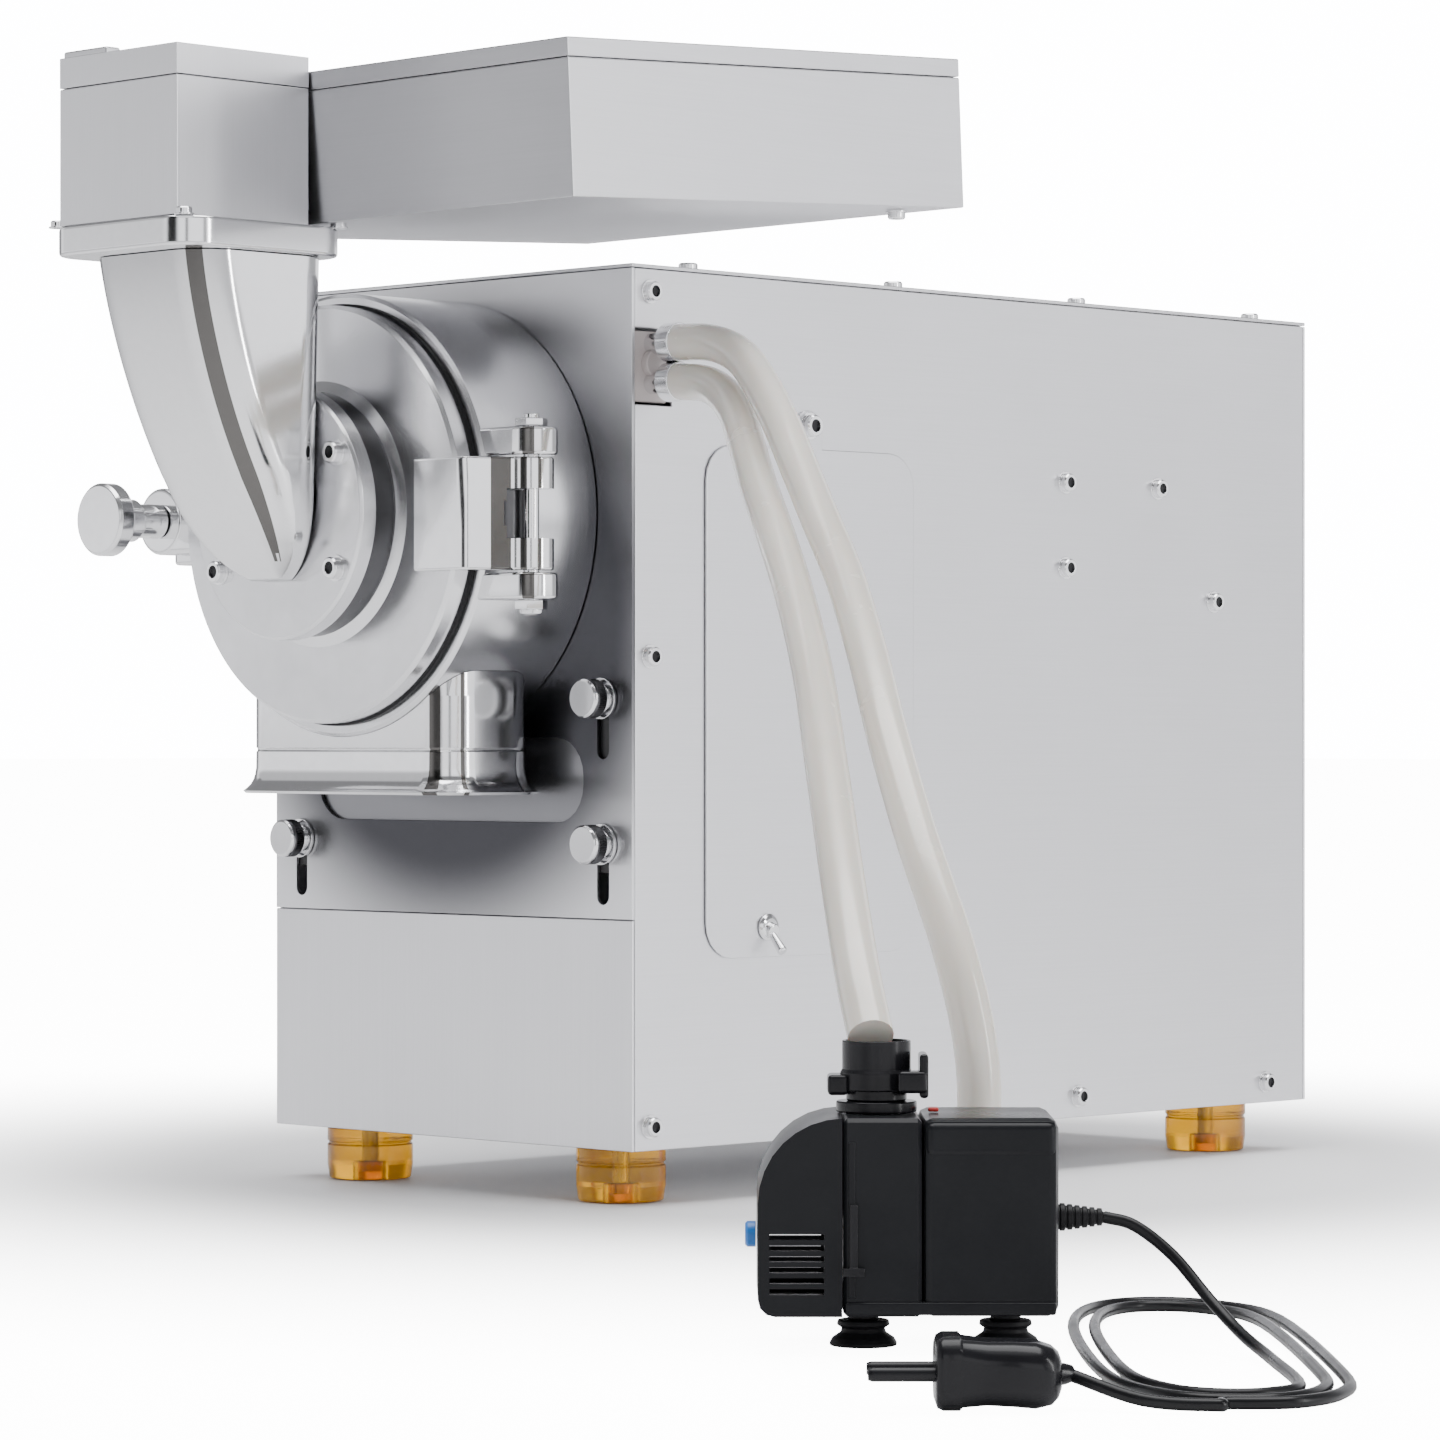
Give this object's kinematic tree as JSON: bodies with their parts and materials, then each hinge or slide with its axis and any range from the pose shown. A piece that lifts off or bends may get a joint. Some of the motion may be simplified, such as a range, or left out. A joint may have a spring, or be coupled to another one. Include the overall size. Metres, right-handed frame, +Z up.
{
  "type": "hammer mill",
  "caption": "Bench hammer mill with a hinged grinding chamber, lidded feed tray, discharge chute, cooling hoses and a small submersible pump with its lead.",
  "frame": {"origin": "on the floor, under the middle of the box round the mill and its pump, without the free lead and hoses", "axes": "+Z up; +Y from the grinding chamber at the front of the case to its back; +X to the right, towards the access panel and the pump"},
  "size_m": [0.7713, 0.7864, 0.4426],
  "materials": {
    "satin_sheet": "brushed stainless sheet, satin",
    "polished_steel": "polished stainless, mirror-like with fine turning marks",
    "shaft_steel": "machined steel",
    "cast_housing": "dull cast aluminium",
    "copper": "enamelled copper winding",
    "amber_rubber": "translucent amber rubber",
    "silicone": "milky silicone, glossy",
    "black_plastic": "moulded black plastic, satin",
    "black_rubber": "black rubber",
    "blue_plastic": "moulded blue plastic"
  },
  "bodies": {
    "mill": {"access_panel": "satin_sheet", "base_plate": "satin_sheet", "bearing_front": "shaft_steel", "chamber_housing": "polished_steel", "clamp_trunnion": "shaft_steel", "cooling_jacket": "cast_housing", "discharge_chute": "polished_steel", "foot_front_left": "amber_rubber", "foot_front_right": "amber_rubber", "foot_rear_left": "amber_rubber", "foot_rear_right": "amber_rubber", "front_panel": "satin_sheet", "grinding_screen": "shaft_steel", "hinge_pin": "polished_steel", "hose_return": "silicone", "hose_supply": "silicone", "left_side_panel": "satin_sheet", "lower_front_panel": "satin_sheet", "motor_shell": "cast_housing", "motor_stator": "copper", "nipple_lower": "polished_steel", "nipple_upper": "polished_steel", "power_inlet": "black_plastic", "pump_body": "black_plastic", "pump_cord": "black_rubber", "pump_foot_left": "black_rubber", "pump_foot_right": "black_rubber", "pump_gland": "black_rubber", "pump_intake_cover": "black_plastic", "pump_motor_block": "black_plastic", "pump_outlet": "black_plastic", "pump_plug": "black_plastic", "rear_panel": "satin_sheet", "right_side_panel": "satin_sheet", "top_cover": "satin_sheet"},
    "rotor": {"rotor_shaft": "shaft_steel", "hammer_carrier": "shaft_steel", "cooling_fan": "black_plastic"},
    "hammer_one": {"hammer_1": "shaft_steel"},
    "hammer_two": {"hammer_2": "shaft_steel"},
    "hammer_three": {"hammer_3": "shaft_steel"},
    "hammer_four": {"hammer_4": "shaft_steel"},
    "door": {"chamber_door": "polished_steel", "feed_elbow": "polished_steel", "duct_collar": "polished_steel", "duct_box": "satin_sheet", "feed_tray": "satin_sheet"},
    "lid": {"tray_lid": "satin_sheet"},
    "cap": {"duct_cap": "satin_sheet"},
    "clamp": {"clamp_knob": "polished_steel"},
    "adjuster": {"adjuster_plate": "satin_sheet"},
    "thumb_upper_left": {"thumb_screw_upper_left": "polished_steel"},
    "thumb_upper_right": {"thumb_screw_upper_right": "polished_steel"},
    "thumb_lower_left": {"thumb_screw_lower_left": "polished_steel"},
    "thumb_lower_right": {"thumb_screw_lower_right": "polished_steel"},
    "latch": {"panel_latch": "polished_steel"},
    "rocker": {"power_rocker": "black_plastic"},
    "knob": {"flow_knob": "blue_plastic"},
    "slider": {"flow_slider": "black_plastic"},
    "impeller": {"pump_impeller": "black_plastic"}
  },
  "joints": [
    {"name": "rotor_spin", "type": "hinge", "parent": "mill", "child": "rotor", "pos_m": [-0.2085, -0.0925, 0.2664], "axis": [0, 1, 0], "continuous": true},
    {"name": "hammer_1_swing", "type": "hinge", "parent": "rotor", "child": "hammer_one", "pos_m": [-0.1705, -0.0895, 0.2664], "axis": [0, 1, 0], "range_deg": [-60, 60]},
    {"name": "hammer_2_swing", "type": "hinge", "parent": "rotor", "child": "hammer_two", "pos_m": [-0.2085, -0.0895, 0.3044], "axis": [0, 1, 0], "range_deg": [-60, 60]},
    {"name": "hammer_3_swing", "type": "hinge", "parent": "rotor", "child": "hammer_three", "pos_m": [-0.2465, -0.0895, 0.2664], "axis": [0, 1, 0], "range_deg": [-60, 60]},
    {"name": "hammer_4_swing", "type": "hinge", "parent": "rotor", "child": "hammer_four", "pos_m": [-0.2085, -0.0895, 0.2284], "axis": [0, 1, 0], "range_deg": [-60, 60]},
    {"name": "door_swing", "type": "hinge", "parent": "mill", "child": "door", "pos_m": [-0.1105, -0.1035, 0.264], "axis": [0, 0, 1], "range_deg": [0, 100]},
    {"name": "lid_lift", "type": "hinge", "parent": "door", "child": "lid", "pos_m": [-0.1385, 0.04969, 0.43534], "axis": [-1, 0, 0], "range_deg": [0, 100]},
    {"name": "cap_lift", "type": "slide", "parent": "door", "child": "cap", "axis": [0, 0, 1], "range_m": [0, 0.03]},
    {"name": "clamp_turn", "type": "hinge", "parent": "door", "child": "clamp", "pos_m": [-0.3065, -0.1325, 0.2664], "axis": [0, 1, 0], "range_deg": [0, 720]},
    {"name": "adjuster_drop", "type": "slide", "parent": "mill", "child": "adjuster", "axis": [0, 0, -1], "range_m": [0, 0.019]},
    {"name": "thumb_lower_left_turn", "type": "hinge", "parent": "adjuster", "child": "thumb_lower_left", "pos_m": [-0.2975, -0.0605, 0.139], "axis": [0, 1, 0], "range_deg": [0, 720]},
    {"name": "thumb_lower_right_turn", "type": "hinge", "parent": "adjuster", "child": "thumb_lower_right", "pos_m": [-0.1195, -0.0605, 0.139], "axis": [0, 1, 0], "range_deg": [0, 720]},
    {"name": "thumb_upper_left_turn", "type": "hinge", "parent": "adjuster", "child": "thumb_upper_left", "pos_m": [-0.2975, -0.0605, 0.195], "axis": [0, 1, 0], "range_deg": [0, 720]},
    {"name": "thumb_upper_right_turn", "type": "hinge", "parent": "adjuster", "child": "thumb_upper_right", "pos_m": [-0.1195, -0.0605, 0.195], "axis": [0, 1, 0], "range_deg": [0, 720]},
    {"name": "latch_turn", "type": "hinge", "parent": "mill", "child": "latch", "pos_m": [-0.1015, 0.015, 0.1057], "axis": [1, 0, 0], "range_deg": [0, 90]},
    {"name": "rocker_rock", "type": "hinge", "parent": "mill", "child": "rocker", "pos_m": [-0.2685, 0.3515, 0.102], "axis": [0, 0, 1], "range_deg": [0, 12]},
    {"name": "knob_turn", "type": "hinge", "parent": "mill", "child": "knob", "pos_m": [0.2417, -0.3401, 0.033], "axis": [0.7071, 0.7071, 0], "range_deg": [0, 270]},
    {"name": "slider_lift", "type": "slide", "parent": "mill", "child": "slider", "axis": [0, 0, 1], "range_m": [0, 0.012]},
    {"name": "impeller_spin", "type": "hinge", "parent": "mill", "child": "impeller", "pos_m": [0.2731, -0.3087, 0.036], "axis": [0.7071, 0.7071, 0], "continuous": true}
  ]
}
